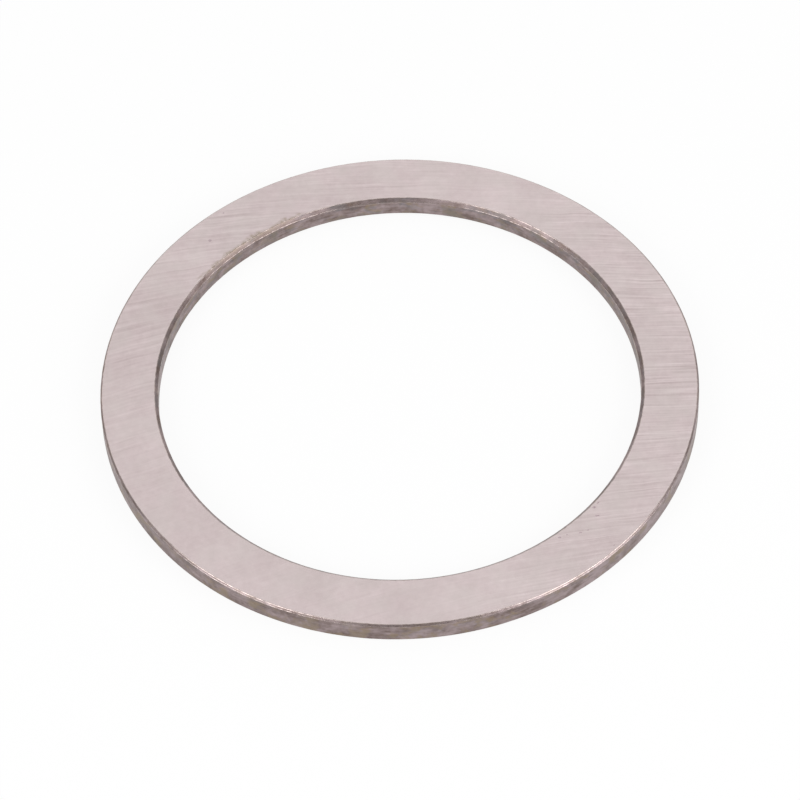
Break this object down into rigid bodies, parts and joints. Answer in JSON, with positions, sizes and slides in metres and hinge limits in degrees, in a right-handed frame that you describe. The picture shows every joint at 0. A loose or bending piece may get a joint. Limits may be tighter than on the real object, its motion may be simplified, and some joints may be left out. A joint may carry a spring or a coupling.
{
  "type": "washer",
  "caption": "Flat ground steel ring washer with a wide round bore and small bevels on its bore and rim edges.",
  "frame": {"origin": "centre of the lower ground face, on the axis of the bore", "axes": "+Z along the bore axis and up out of the upper face; X and Y lie in the lower face"},
  "size_m": [0.0746, 0.0746, 0.003],
  "materials": {
    "ground_steel": "surface ground faces with fine straight marks, darker turned walls, deburred bevels"
  },
  "bodies": {
    "root": {"washer_ring": "ground_steel"}
  },
  "joints": []
}
